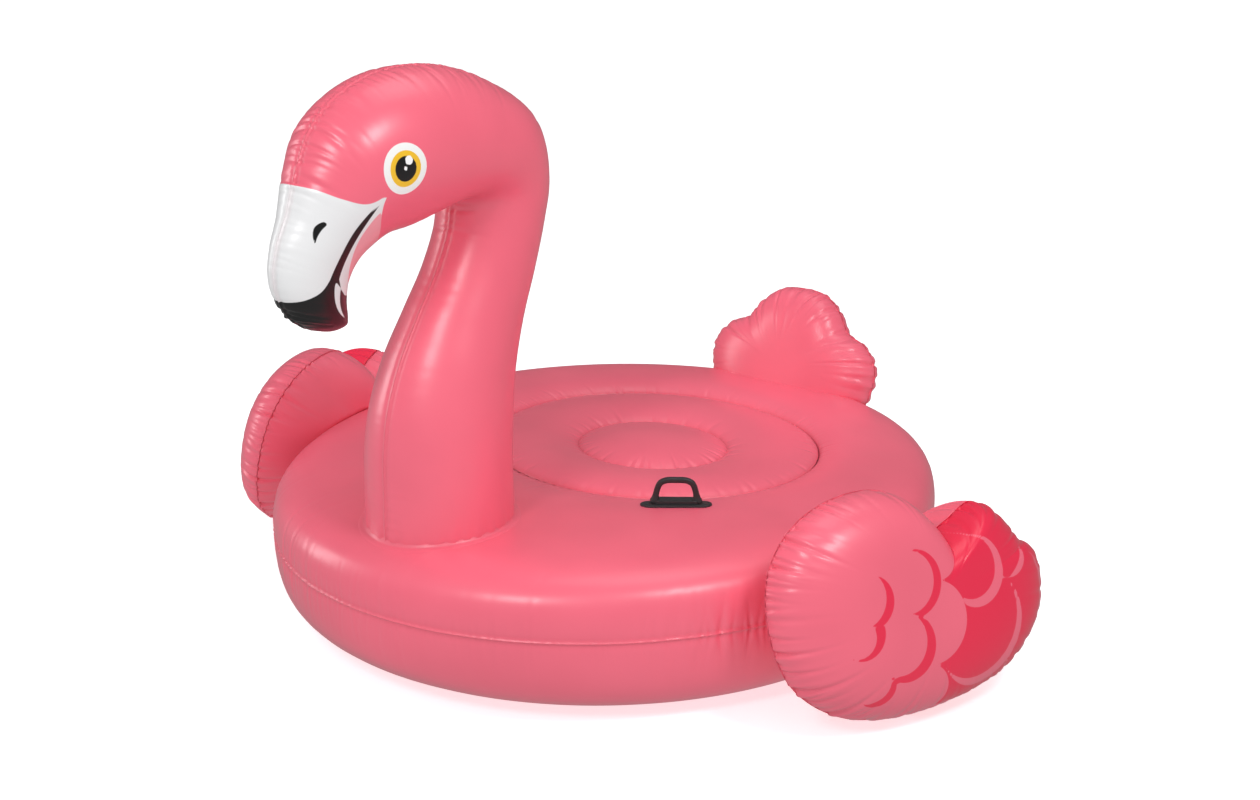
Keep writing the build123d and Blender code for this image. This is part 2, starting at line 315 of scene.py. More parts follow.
def crescent(q, outer, inner):
    """Between two arcs, each given by start, middle and end."""
    d = np.maximum(disc(q, outer), -disc(q, inner))
    cuts = [(outer[k], inner[k]) for k in (0, 2) if math.dist(outer[k], inner[k]) > 4]
    for a, b in cuts + [(inner[0], inner[2])]:
        cut = side(q, a, b)
        d = np.maximum(d, -cut if side(np.array(outer[1], float), a, b) > 0 else cut)
    return d


# ---------------------------------------------------------------- materials

def srgb(r, g, b):
    """Linear colour from an 8-bit display colour."""
    def linear(c):
        c /= 255
        return c / 12.92 if c <= 0.04045 else ((c + 0.055) / 1.055) ** 2.4

    return (linear(r), linear(g), linear(b), 1)


def shade(colour, factor, lift=0.0):
    """A lighter or darker form of a linear colour."""
    return tuple(min(1, c * factor + lift) for c in colour[:3]) + (1,)


PINK, DEEP, PALE = srgb(250, 106, 129), srgb(243, 28, 72), srgb(244, 162, 172)
WHITE, BLACK = srgb(232, 232, 233), srgb(12, 12, 13)


class Nodes:
    """Short way to write a material's node tree."""

    def __init__(self, name):
        self.material = bpy.data.materials.new(name)
        self.material.use_nodes = True
        self.tree = self.material.node_tree
        self.shader = self.tree.nodes["Principled BSDF"]

    def add(self, kind, settings=None, **links):
        node = self.tree.nodes.new("ShaderNode" + kind)
        for key, value in (settings or {}).items():
            setattr(node, key, value)
        for key, value in links.items():
            socket = node.inputs[int(key[1:])] if key[0] == "_" else node.inputs[key.replace("_", " ")]
            self.put(socket, value)
        return node

    def put(self, socket, value):
        if isinstance(value, bpy.types.NodeSocket):
            self.tree.links.new(value, socket)
        else:
            socket.default_value = value

    def noise(self, scale, detail=2.0, rough=0.5):
        vector = self.add("TexCoord").outputs["Object"]
        node = self.add("TexNoise", None, Vector=vector, Scale=scale, Detail=detail, Roughness=rough)
        return node.outputs["Fac"]

    def fact(self, name):
        return self.add("Attribute", {"attribute_name": name}).outputs["Fac"]

    def math(self, how, a, b=0.0):
        return self.add("Math", {"operation": how}, _0=a, _1=b).outputs[0]

    def remap(self, value, low, high, to_low=0.0, to_high=1.0):
        node = self.add("MapRange", {"clamp": True}, _0=value, _1=low, _2=high, _3=to_low, _4=to_high)
        return node.outputs[0]

    def mix(self, share, a, b, how="MIX"):
        node = self.add("Mix", {"data_type": "RGBA", "blend_type": how})
        self.put(node.inputs[0], share)
        self.put(node.inputs[6], a)
        self.put(node.inputs[7], b)
        return node.outputs[2]

    def surface(self, colour, rough, height, strength=0.5, distance=0.001):
        self.put(self.shader.inputs["Base Color"], colour)
        self.put(self.shader.inputs["Roughness"], rough)
        bump = self.add("Bump", None, Height=height, Strength=strength, Distance=distance)
        self.tree.links.new(bump.outputs[0], self.shader.inputs["Normal"])


def vinyl(name, prints=()):
    """Glossy welded film in pink.

    prints are (attribute, colour), later ones on top, each inside where the attribute is negative. The
    attribute weld is the distance from the nearest weld, and run is the distance along it. Near welds and
    creases the colour is darkened with painted shade.
    """
    n = Nodes(name)
    tone = n.remap(n.noise(2.2, 3.0), 0.3, 0.7)
    colour = n.mix(tone, shade(PINK, 0.90), shade(PINK, 1.06))
    for fact, ink in prints:
        mask = n.remap(n.fact(fact), -0.0005, 0.0005, 1.0, 0.0)
        speck = n.remap(n.noise(340, 1.0), 0.35, 0.6, 0.96, 1.0)
        colour = n.mix(mask, colour, n.mix(speck, shade(ink, 0.94), ink))
    height = n.math("MULTIPLY", n.noise(260, 2.0), 0.10)
    height = n.math("ADD", height, n.math("MULTIPLY", n.noise(34, 2.0), 0.35))
    rough = n.remap(n.noise(9, 4.0), 0.3, 0.75, 0.32, 0.44)
    scuff = n.remap(n.noise(75, 6.0, rough=0.75), 0.60, 0.74, 0.0, 0.09)
    rough = n.math("ADD", rough, scuff)
    # Painted shade: the colour is darkened along welds and creases, where the folds lie in shadow
    weld = n.remap(n.fact("weld"), 0.002, 0.014, 1.0, 0.0)
    painted_weld_shade = n.mix(1.0, colour, (0.80, 0.52, 0.56, 1), "MULTIPLY")
    colour = n.mix(n.math("MULTIPLY", weld, 0.22), colour, painted_weld_shade)
    band = n.remap(n.fact("weld"), 0.0028, 0.0040, 1.0, 0.0)
    ribs = n.math("SINE", n.math("MULTIPLY", n.fact("run"), 2100.0))
    height = n.math("ADD", height, n.math("MULTIPLY", n.math("MULTIPLY", ribs, band), 0.18))
    rough = n.math("ADD", rough, n.math("MULTIPLY", weld, 0.08))
    n.surface(colour, rough, height, 0.45, 0.0012)
    n.shader.inputs["Coat Weight"].default_value = 0.65
    n.shader.inputs["Coat Roughness"].default_value = 0.30
    n.shader.inputs["IOR"].default_value = 1.5
    return n.material


def moulded(name, colour, rough=0.42, grain=900):
    """Satin moulded plastic with fine grain and light wear."""
    n = Nodes(name)
    tone = n.remap(n.noise(24, 3.0), 0.3, 0.7)
    mixed = n.mix(tone, shade(colour, 0.8), colour)
    wear = n.remap(n.noise(120, 6.0, rough=0.8), 0.62, 0.72, 0.0, 0.25)
    mixed = n.mix(wear, mixed, shade(colour, 1.5, 0.01))
    height = n.math("ADD", n.noise(grain, 3.0), n.math("MULTIPLY", n.noise(90, 2.0), 0.4))
    worn = n.remap(n.noise(60, 3.0), 0.3, 0.7, rough - 0.06, rough + 0.1)
    n.surface(mixed, worn, height, 0.3, 0.0004)
    return n.material


HULL_VINYL = vinyl("hull_vinyl")
FLOOR_VINYL = vinyl("floor_vinyl")
TAIL_VINYL = vinyl("tail_vinyl")
NECK_VINYL = vinyl("neck_vinyl", [
    ("beak", WHITE), ("jaw", PALE), ("black", BLACK), ("sliver", WHITE),
    ("eye_white", srgb(244, 244, 242)), ("iris", srgb(244, 192, 24)), ("pupil", BLACK),
    ("glint", srgb(250, 250, 250))])
WING_PRINT = vinyl("wing_print_vinyl", [("dark", DEEP), ("light", PINK)])
WING_PLAIN = vinyl("wing_vinyl")


# ---------------------------------------------------------------- hull

def ring(share):
    """Radii and centre y of the hull's ellipse at a share of the ring's half width."""
    k = (1 + np.asarray(share, float)) / 2
    rx, ry = (WELL_R[i] + (HULL_R[i] - WELL_R[i]) * k for i in (0, 1))
    return rx, ry, WELL_Y * (1 - k)


def hull_profile():
    """Cross-section of the ring as (share, z), from the seam over the crest to the seam inside the well."""
    top, low = [(1.0, SEAM_Z)], [(1.0, SEAM_Z)]
    for angle in PROFILE_ANGLES:
        c, s = math.cos(math.radians(angle)), math.sin(math.radians(angle))
        top.append((c**TOP_POWER, SEAM_Z + (CREST_Z - SEAM_Z) * s**TOP_POWER))
        low.append((c**LOW_POWER, SEAM_Z - SEAM_Z * s**LOW_POWER))
    top += [(0.38, CREST_Z), (-0.36, CREST_Z), (-0.62, CREST_Z - 0.004), (-0.80, CREST_Z - 0.011)]
    top += [(-0.93, CREST_Z - 0.020), (-1.0, CREASE_TOP_Z), (-1.0, SEAM_Z)]
    low += [(0.38, 0.0), (-0.38, 0.0), (-0.60, 0.006), (-0.80, 0.020), (-0.94, 0.040)]
    low += [(-1.0, WELL_FOOT_Z), (-1.0, SEAM_Z)]
    return [np.array(side) for side in (top, low)]


def profile_line(points):
    """Fine (share, z) line through a profile, with its length at the ring's mean half width."""
    scaled = points * [MEAN_HALF_WIDTH, 1]
    body, wall = scaled[:-1], scaled[-2:]
    line = np.vstack([curve(body, 900), even(wall, 60)[0][1:]])
    length = np.r_[0, np.cumsum(np.linalg.norm(np.diff(line, axis=0), axis=1))]
    return line / [MEAN_HALF_WIDTH, 1], length


def hull_point(share, z, angle):
    """Point of the ring at a share of its half width, a height and an angle around."""
    rx, ry, cy = ring(share)
    return np.stack([rx * np.cos(angle), cy + ry * np.sin(angle), z + 0 * angle], -1)


TOP_LINE, TOP_LENGTH = profile_line(hull_profile()[0])
LOW_LINE, LOW_LENGTH = profile_line(hull_profile()[1])


def share_at(x, y):
    """Share of the ring's half width at a place in plan."""
    low, high = np.full(np.shape(x), -1.0), np.full(np.shape(x), 1.6)
    for _ in range(26):
        mid = (low + high) / 2
        rx, ry, cy = ring(mid)
        inside = (x / rx) ** 2 + ((y - cy) / ry) ** 2 < 1
        low, high = np.where(inside, low, mid), np.where(inside, mid, high)
    return (low + high) / 2


def crest_height(x, y):
    """Height of the hull's top at a place in plan."""
    s = share_at(x, y)
    order = np.argsort(TOP_LINE[:, 0])
    return np.interp(s, TOP_LINE[order, 0], TOP_LINE[order, 1])


def angles_around(count):
    return np.linspace(0, 2 * np.pi, count, endpoint=False)[None, :]


def build_hull():
    """Top and bottom sheets of the ring, from the outer seam to the seam in the well."""
    angle = angles_around(HULL_COLUMNS)
    rim = hull_point(1.0, SEAM_Z, angle)[0]
    seg = np.linalg.norm(np.roll(rim, -1, 0) - rim, axis=1)
    run = np.r_[0, np.cumsum(seg)[:-1]][None, :]
    total = seg.sum()

    def strong(place):
        """Folds are strongest at the front, beside the wings and at the back."""
        def near(degrees, width):
            off = (2 * np.pi * place / total - math.radians(degrees) + np.pi) % (2 * np.pi) - np.pi
            return bell(off / width)

        return 0.22 + max(near(218, 0.55), near(330, 0.16), near(210, 0.16), 0.7 * near(90, 0.7))

    for name, line, length, sign in (
        ("hull_top", TOP_LINE, TOP_LENGTH, 1), ("hull_bottom", LOW_LINE, LOW_LENGTH, -1)):
        s = steps(length[-1], FINE, HULL_ROW_STEP)
        share, z = np.interp(s, length, line[:, 0]), np.interp(s, length, line[:, 1])
        p = hull_point(share[:, None], z[:, None], angle)
        core = hull_point(0.0, 0.16, angle)
        n = normals(p, True)
        n *= np.sign(np.sum(n * (p - core), -1, keepdims=True))
        dist = s[:, None] + 0 * angle
        rng = np.random.default_rng
        lift = creases(run, dist, total, rng(41), 0.019, 0.0028, 0.052, 0.0040, strong)
        lift += creases(run, dist, total, rng(7), 0.060, 0.0020, 0.105, 0.0075, strong)
        lift += swell(run, dist, total, rng(3), 6, 0.0012, 0.05)
        lift += 0.0022 * bell(dist / 0.0022) - 0.0012 * bell((dist - 0.007) / 0.006)
        inner = length[-1] - (CREASE_TOP_Z - SEAM_Z if sign > 0 else SEAM_Z - WELL_FOOT_Z)
        at_crease = np.abs(dist - inner)
        fold = creases(run, at_crease, total, rng(19), 0.055, 0.0016, 0.040, 0.0060)
        lift += np.where(dist < inner, fold, 0)
        keep = np.clip((inner + 0.01 - dist) / 0.02, 0, 1)
        p += n * (lift * keep)[..., None]
        p[..., 2] = np.maximum(p[..., 2], 0)
        outward = p - core
        if sign > 0:
            p += SHIFT
        facts = {"weld": np.minimum(dist, at_crease), "run": run}
        sheet(name, p, True, outward, HULL_VINYL, "hull_vinyl", [name + "_skin"], facts,
              "hull" if sign > 0 else None)


# ---------------------------------------------------------------- floor

def build_floor():
    """Top and bottom sheets in the well: a centre dome, a valley and a ring pillow."""
    angle = angles_around(FLOOR_COLUMNS)
    beside = np.array([0.045, 0.03, 0.018, 0.009, 0.004])
    share = np.r_[np.linspace(1.0, 0.985, 4), np.linspace(0.97, FLOOR_VALLEY + 0.06, 26),
                  FLOOR_VALLEY + np.r_[beside, 0, -beside[::-1]], np.linspace(FLOOR_VALLEY - 0.06, 0.03, 20)]
    mean_r = WELL_R.mean()
    for name, crease, nodes, sign in (
        ("floor_top", CREASE_TOP_Z, ["floor_top_skin", "floor_baffle"], 1),
        ("floor_bottom", CREASE_BOTTOM_Z, ["floor_bottom_skin"], -1)):
        valley_z = crease - sign * FLOOR_VALLEY_DROP
        ring_k = (share - FLOOR_VALLEY) / (1 - FLOOR_VALLEY)
        pillow = np.where(share >= FLOOR_VALLEY, 1 - (2 * ring_k - 1) ** 2, 0)
        base = np.where(share >= FLOOR_VALLEY, valley_z + (crease - valley_z) * ring_k, valley_z)
        dome = np.where(share < FLOOR_VALLEY, 1 - (share / FLOOR_VALLEY) ** 2, 0)
        z = base + sign * (FLOOR_RING_RISE * pillow**0.62 + FLOOR_DOME_RISE * dome**0.70)
        p = np.stack([WELL_R[0] * share[:, None] * np.cos(angle),
                      WELL_Y + WELL_R[1] * share[:, None] * np.sin(angle), z[:, None] + 0 * angle], -1)
        valley_r = mean_r * FLOOR_VALLEY
        off = (share[:, None] - FLOOR_VALLEY) * mean_r + 0 * angle
        lift = creases(angle * valley_r, np.abs(off), 2 * np.pi * valley_r, np.random.default_rng(23),
                       0.034, 0.0017, 0.034, 0.0048)
        rim = (1 - share[:, None]) * mean_r + 0 * angle
        lift += creases(angle * mean_r, rim, 2 * np.pi * mean_r, np.random.default_rng(29),
                        0.047, 0.0018, 0.036, 0.0055)
        lift *= np.clip(rim / 0.008, 0, 1) * np.clip(share[:, None] / 0.1, 0, 1)
        n = normals(p, True)
        n *= np.sign(n[..., 2:3]) * sign
        p += n * lift[..., None]
        facts = {"weld": np.minimum(np.abs(off), rim), "run": angle * mean_r}
        if sign < 0:
            p += SHIFT
        sheet(name, p, True, np.array([0, 0, float(sign)]), FLOOR_VINYL, "floor_vinyl", nodes, facts,
              "floor" if sign < 0 else None, pole=True)


# ---------------------------------------------------------------- neck, head and beak

def head_facts(p):
    """Signed distances of the printed face, in side view: y towards the tail and z up, in mm."""
    q = p[..., 1:] / MM
    upper = [(-960, 1062), (-882, 1053), (-841, 1032), (-799, 1018), (-772, 1024), (-751, 1041)]
    cheek = [(-751, 1041), (-762, 1018), (-763, 992), (-755, 965), (-738, 930), (-700, 880)]
    beak = polygon(q, np.vstack([curve(upper, 40), curve(cheek, 40), [(-700, 720), (-960, 720)]]))
    mouth = stroke(q, [(-760, 1030), (-779, 1008), (-807, 970), (-833, 915), (-848, 875)],
                   [0.6, 3, 6.8, 8.6, 12])
    lip = curve([(-960, 850), (-927, 848), (-900, 853), (-874, 865), (-854, 889), (-844, 912)], 40)
    jaw_edge = [(-838, 905), (-836, 885), (-826, 859), (-812, 845), (-760, 825), (-700, 700), (-960, 700)]
    tip = polygon(q, np.vstack([lip, jaw_edge]))
    nostril = stroke(q, [(-869, 988), (-877, 981), (-883, 968), (-885, 955)], [4.5, 5.5, 3.5, 0.6])
    black = np.minimum(np.minimum(mouth, tip), nostril)
    sliver = crescent(q, [(-843, 878), (-836, 828), (-806, 799)],
                      [(-827, 862), (-825, 828), (-806, 799)])
    chin = curve([(-752, 1010), (-780, 985), (-803, 945), (-808, 900), (-800, 868)], 30)
    pale = polygon(q, np.vstack([chin, [(-760, 850), (-690, 870), (-700, 960)]]))
    jaw = np.maximum(pale, beak)
    eye = np.array([-721.0, 1074.0])

    def oval(centre, ry, rz):
        d = (q - centre) / [ry, rz]
        return (np.linalg.norm(d, axis=-1) - 1) * min(ry, rz)

    glint = np.minimum(oval(eye + [7, 15], 8.5, 8.5), oval(eye + [-1, 1], 3.6, 4.6))
    facts = {"beak": beak, "jaw": jaw, "black": black, "sliver": sliver, "glint": glint,
             "eye_white": oval(eye, 46, 47), "iris": oval(eye, 33, 33.5), "pupil": oval(eye, 23, 23.5)}
    return {k: v * MM for k, v in facts.items()}


def build_neck():
    """One sheet for the neck, head and beak, and the fillet at its foot."""
    rows, cols = NECK_GRID
    r = NECK_ROWS.copy()
    r[:, [0, 1, 3, 4]] *= MM
    r[:, 2] = np.radians(r[:, 2])
    t = np.r_[0, np.cumsum(np.hypot(np.diff(r[:, 0]), np.diff(r[:, 1])) + 0.03)]
    probe = np.linspace(0, t[-1], 800)
    dense = np.interp(probe, [0, t[7], t[9], t[16], t[-1]], [1, 1, 2.6, 2.6, 2.0])
    count = np.r_[0, np.cumsum((dense[1:] + dense[:-1]) / 2)]
    q = np.interp(np.linspace(0, count[-1], rows), count, probe)
    y, z, lean, depth, width = smooth(r, t, q).T
    travel = np.r_[0, np.cumsum(np.hypot(np.diff(y), np.diff(z)))]
    left = np.clip((travel[-1] - travel) / 0.034, 0, 1)
    close = np.sqrt(np.maximum(1 - (1 - left) ** 2.2, 0.004))
    close[-1] = 0.10
    turn = np.linspace(0, 2 * np.pi, cols, endpoint=False)
    phi = (turn - 0.275 * np.sin(2 * turn))[None, :]
    across = np.stack([0 * lean, np.cos(lean), np.sin(lean)], -1)
    spine = np.stack([0 * y, y, z], -1)
    p = spine[:, None] + across[:, None] * (depth * close)[:, None, None] * np.cos(phi)[..., None]
    p = p + np.array([1.0, 0, 0]) * ((width * close)[:, None] * np.sin(phi))[..., None]
    facts = head_facts(p)
    n = normals(p, True)
    n *= np.sign(np.sum(n * (p - spine[:, None]), -1, keepdims=True))
    girth = ((width + depth) / 2)[:, None]
    off_back = girth * np.abs((phi + np.pi) % (2 * np.pi) - np.pi)
    off_front = girth * np.abs(phi - np.pi)
    back = off_back < off_front
    weld = np.minimum(off_back, off_front)
    outer = spine + across * depth[:, None]
    inner = spine - across * depth[:, None]
    run_out = np.r_[0, np.cumsum(np.linalg.norm(np.diff(outer, axis=0), axis=1))][:, None]
    run_in = np.r_[0, np.cumsum(np.linalg.norm(np.diff(inner, axis=0), axis=1))][:, None]

    def crown_weight(place):
        row = np.argmin(np.abs(run_out[:, 0] - place))
        height, ahead = outer[row, 2], -outer[row, 1]
        forehead = bell((height - 1.13) / 0.085) if ahead > 0.7 else 0
        tip = bell((height - 0.80) / 0.04) if ahead > 0.8 else 0
        top = 0.45 if (height > 1.12 and ahead <= 0.7) else 0
        low = 0.30 * bell((height - 0.36) / 0.06) if ahead < 0.6 else 0
        return 0.12 + max(forehead, 0.9 * tip, top, low)

    def throat_weight(place):
        row = np.argmin(np.abs(run_in[:, 0] - place))
        height, ahead = inner[row, 2], -inner[row, 1]
        bend = bell((height - 0.955) / 0.05) if ahead < 0.62 else 0
        return 0.10 + 1.0 * bend + (0.25 if height < 0.45 else 0)

    def folds(where, run, off, seed, size, weight):
        return np.where(where, creases(run, off, run[-1, 0], np.random.default_rng(seed), *size, weight), 0)

    lift = folds(back, run_out, off_back, 5, (0.017, 0.0032, 0.060, 0.0034), crown_weight)
    lift += folds(back, run_out, off_back, 6, (0.050, 0.0034, 0.095, 0.0060), crown_weight)
    lift += folds(~back, run_in, off_front, 8, (0.016, 0.0034, 0.060, 0.0042), throat_weight)
    lift += 0.0018 * bell(weld / 0.0022) - 0.0011 * bell((weld - 0.007) / 0.005)
    base = np.clip(p[..., 2] - crest_height(p[..., 0], p[..., 1]), 0, 1)
    around = np.arctan2(p[..., 0], -(p[..., 1] - y[0])) * NECK_FOOT_R
    lift += creases(around, base, 2 * np.pi * NECK_FOOT_R, np.random.default_rng(12),
                    0.042, 0.0022, 0.040, 0.0060)
    lift *= np.clip((travel[-1] - travel) / 0.012, 0, 1)[:, None]
    p += n * lift[..., None]
    facts.update(weld=np.minimum(weld, np.where(base > 0, base, 1)), run=np.where(back, run_out, run_in))
    p += SHIFT
    core = spine[:, None] + SHIFT
    sheet("neck_and_head", p, True, p - core, NECK_VINYL, "neck_vinyl",
          ["neck_left_skin", "neck_right_skin"], facts, "neck", pole=spine[-1] + SHIFT)

    # Welded fillet where the neck stands on the hull, as (out from the neck, up from the hull)
    fillet = ((-0.004, 0.012), (0.0, 0.0065), (0.0015, 0.0032), (0.004, 0.0015), (0.008, 0.0009),
              (0.012, 0.0006), (0.0146, -0.001))
    a = angles_around(360)[0]
    foot = smooth(r, t, np.interp([CREST_Z], z[:200], q[:200]))[0]
    grid = []
    for out, up in fillet:
        x, yy = (foot[4] + out) * np.sin(a), foot[0] + (foot[3] + out) * np.cos(a)
        grid.append(np.stack([x, yy, crest_height(x, yy) + up], -1))
    edge = np.abs(np.array([0, 0.4, 1, 2, 3, 4, 5])[:, None] - 1) * 0.004
    sheet("neck_weld", np.array(grid), True, np.array([0, 0, 1.0]), HULL_VINYL, "hull_vinyl",
          ["neck_weld_ring"], {"weld": edge, "run": (a * NECK_FOOT_R)[None, :]})


# ---------------------------------------------------------------- wings and tail

def lens_rows(bulge):
    """Shares, full and softer heights, and lengths of a lens-shaped chamber, from weld to middle."""
    share = np.sin(np.linspace(np.pi / 2, 0, 1500))
    full, soft = np.maximum(1 - share**4, 0) ** 0.48, np.maximum(1 - share**2, 0) ** 0.85
    length = np.r_[0, np.cumsum(np.hypot(np.diff(share) * 0.27, np.diff(full * bulge)))]
    s = steps(length[-1] * 0.97, FINE, CHAMBER_ROW_STEP)
    return [np.interp(s, length, values) for values in (share, full * bulge, soft * bulge)] + [s]


def closed_outline(parts, count):
    """The closed outline through the parts, each of them smooth, at count even steps, and its length."""
    line = np.vstack([curve(part, 200)[:-1] for part in parts]) * MM
    return even(line, count, closed=True)


def chamber(name, parts, plane, n_out, bulge, count, material, slot, seeds, weight, mirror_x=False,
            facts_of=None, valve=None, push=None, softer=None):
    """One side of a flat welded chamber. plane is its centre and two directions; n_out points out of it."""
    centre, u, w = plane
    outline, total = closed_outline(parts, count)
    tangent = np.roll(outline, -1, 0) - np.roll(outline, 1, 0)
    tangent /= np.linalg.norm(tangent, axis=1, keepdims=True)
    away = np.stack([tangent[:, 1], -tangent[:, 0]], 1)
    away *= np.sign(np.sum(away * outline))
    share, full, soft, s = lens_rows(bulge)
    flat = outline[None] * share[:, None, None]
    amount = softer(outline)[None] if softer else np.zeros((1, count))
    height = full[:, None] * (1 - amount) + soft[:, None] * amount
    p = centre + flat[..., :1] * u + flat[..., 1:] * w + height[..., None] * n_out
    run = (np.arange(count) * total / count)[None, :]
    dist = s[:, None] + 0 * run
    n = normals(p, True)
    n *= np.sign(np.sum(n * (p - centre), -1, keepdims=True))
    rng = [np.random.default_rng(seed) for seed in seeds]
    lift = creases(run, dist, total, rng[0], 0.022, 0.0036, 0.050, 0.0034, weight)
    lift += creases(run, dist, total, rng[1], 0.046, 0.0064, 0.105, 0.0056, weight)
    lift += swell(run, dist, total, rng[2], 5, 0.0018, 0.05)
    lift *= np.clip(dist / 0.003, 0, 1) * np.clip((share[:, None] - 0.05) / 0.2, 0, 1)
    p += n * lift[..., None]
    lip = outline + WELD_LIP * away
    rim = centre + lip[:, :1] * u + lip[:, 1:] * w + 0.0004 * n_out
    inner_rim = centre + outline[:, :1] * u + outline[:, 1:] * w + 0.0012 * n_out
    p = np.concatenate([rim[None], inner_rim[None], p[1:]], 0)
    flat = np.concatenate([flat[:1], flat], 0)
    dist = np.concatenate([dist[:1], dist], 0)
    facts = {"weld": dist, "run": run + 0 * dist}
    if facts_of:
        facts.update(facts_of(flat / MM))
    if push:
        p = push(p)
    if mirror_x:
        p = p * [-1, 1, 1]
    direction = n_out * ([-1, 1, 1] if mirror_x else [1, 1, 1])
    if valve:
        p = p + SHIFT
    sheet(name, p, True, direction, material, slot, [name + "_skin"], facts, valve, pole=True)


def wing_facts(q):
    """Signed distances of the feather print, in the wing's plane: towards the tail and up, in mm."""
    dark = np.full(q.shape[:-1], 1e9)
    for outer, inner in (
        ([(-146, 78), (-119, 10), (-150, -18)], [(-146, 78), (-136, 19), (-170, -12)]),
        ([(-144, -17), (-145, -42), (-224, -61)], [(-170, -12), (-164, -36), (-224, -61)]),
        ([(-70, 109), (-5, 12), (-53, -20)], [(-70, 109), (-23, 19), (-76, -10)]),
        ([(-53, -20), (-28, -87), (-125, -130)], [(-76, -10), (-48, -74), (-137, -115)]),
        ([(-125, -130), (-131, -160), (-188, -161)], [(-137, -115), (-142, -148), (-188, -161)])):
        dark = np.minimum(dark, crescent(q, outer, inner))
    front = polygon(q, [(70, 150), (0, 38), (-32, -119), (-113, -208), (-120, -400), (-600, -400),
                        (-600, 400), (70, 400)])
    for three in (
        [(30, 135), (48, 62), (0, 38)], [(0, 38), (55, -57), (-32, -119)],
        [(-32, -119), (6, -168), (-113, -208)]):
        front = np.minimum(front, disc(q, three))
    dark = np.minimum(dark, -front)
    light = np.full(q.shape[:-1], 1e9)
    for outer, inner in (
        ([(94, 104), (163, 12), (29, 22)], [(94, 104), (142, 22), (29, 22)]),
        ([(171, 7), (208, -90), (-7, -129)], [(171, 7), (192, -80), (-7, -129)]),
        ([(246, 57), (237, 27), (180, 4)], [(246, 57), (221, 31), (180, 4)]),
        ([(262, 40), (300, -60), (199, -156)], [(262, 40), (285, -60), (199, -156)]),
        ([(179, -159), (170, -195), (120, -215)], [(179, -159), (160, -190), (120, -215)]),
        ([(-95, -212), (-20, -222), (60, -205)], [(-95, -212), (-20, -213), (60, -205)])):
        light = np.minimum(light, crescent(q, outer, inner))
    light = np.maximum(light, -front)
    return {"dark": dark * MM, "light": light * MM}


def press_on_hull(p):
    """Brings what would be inside the hull onto the hull's side."""
    x, y, z = p[..., 0], p[..., 1], p[..., 2]
    line = np.vstack([LOW_LINE[::-1], TOP_LINE])
    line = line[line[:, 0] > 0.3]
    wall = np.interp(z, line[:, 1], line[:, 0])
    rx, ry, cy = ring(wall)
    size = np.sqrt((x / (rx + 0.0004)) ** 2 + ((y - cy) / (ry + 0.0004)) ** 2)
    inside = (size < 1) & (z > 0.001) & (z < CREST_Z - 0.001) & (wall > 0.38)
    scale = np.where(inside, 1 / np.maximum(size, 0.2), 1)
    q = p.copy()
    q[..., 0] = x * scale
    q[..., 1] = cy + (y - cy) * scale
    return q


def build_wings():
    """Outer and inner sheets of both wings. The print is on the outer ones."""
    c, s = math.cos(WING_FLARE), math.sin(WING_FLARE)
    out = np.array([c * math.cos(WING_TILT), -s * math.cos(WING_TILT), math.sin(WING_TILT)])
    u = np.array([s, c, 0])
    plane = WING_CENTRE, u, np.cross(out, u)
    parts = [WING_TIP_LOBE, WING_BODY]
    outline, total = closed_outline(parts, 400)

    def weight(place):
        x, y = outline[int(place / total * 400) % 400]
        front = 1.0 if x < -0.15 else 0.30
        return front * (1.0 if y < 0.21 else 0.8) + (0.35 if x > 0.15 else 0)

    def softer(line):
        k = np.clip((-line[:, 0] - 0.02) / 0.2, 0, 1)
        return k * k * (3 - 2 * k)

    for side_name, mirrored in (("left", False), ("right", True)):
        chamber(side_name + "_wing_outer", parts, plane, out, WING_BULGE_OUT, WING_COLUMNS, WING_PRINT,
                "wing_vinyl", (31, 32, 33), weight, mirrored, wing_facts)
        chamber(side_name + "_wing_inner", parts, plane, -out, WING_BULGE_IN, WING_COLUMNS, WING_PLAIN,
                "wing_vinyl", (31, 32, 33), weight, mirrored, None, side_name + "_wing", press_on_hull,
                softer)


def build_tail():
    """Back and front sheets of the tail fan."""
    back = np.array([0, math.cos(TAIL_LEAN), -math.sin(TAIL_LEAN)])
    plane = TAIL_CENTRE, np.array([1.0, 0, 0]), np.array([0, math.sin(TAIL_LEAN), math.cos(TAIL_LEAN)])
    left = [(-x, y) for x, y in reversed(TAIL_HALF)]
    for name, direction, valve in (("tail_back", back, "tail"), ("tail_front", -back, None)):
        chamber(name, [TAIL_HALF, left], plane, direction, TAIL_BULGE, TAIL_COLUMNS, TAIL_VINYL,
                "tail_vinyl", (51, 52, 53), lambda place: 0.55, valve=valve)


# ---------------------------------------------------------------- handles and valves

